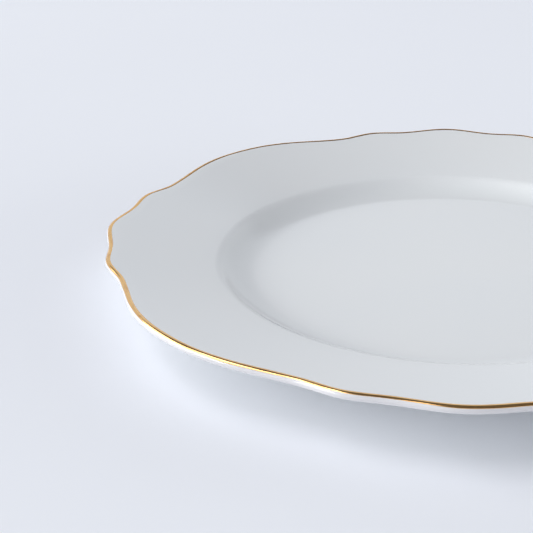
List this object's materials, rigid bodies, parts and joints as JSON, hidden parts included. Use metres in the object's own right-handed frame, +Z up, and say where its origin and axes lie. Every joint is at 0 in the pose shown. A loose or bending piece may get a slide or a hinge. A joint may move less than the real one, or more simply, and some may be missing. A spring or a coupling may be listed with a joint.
{
  "type": "dinner plate",
  "caption": "Round china dinner plate with a shallow well, a broad sloping flange, a scalloped rim edged in gold and a bare foot ring.",
  "frame": {"origin": "centre of the foot ring's resting face, on the table plane", "axes": "+Z up through the well, along the plate's axis; +X and +Y through points of the scalloped edge, with the wide lobes at 45 degrees between them"},
  "size_m": [0.2696, 0.2696, 0.0222],
  "materials": {
    "bare_porcelain": "matte",
    "clear_glaze_on_white": "gloss",
    "fired_gold": "polished"
  },
  "bodies": {
    "root": {"porcelain_body": "bare_porcelain", "face_and_back_glaze": "clear_glaze_on_white", "foot_recess_glaze": "clear_glaze_on_white", "gold_edge_line": "fired_gold"}
  },
  "joints": []
}
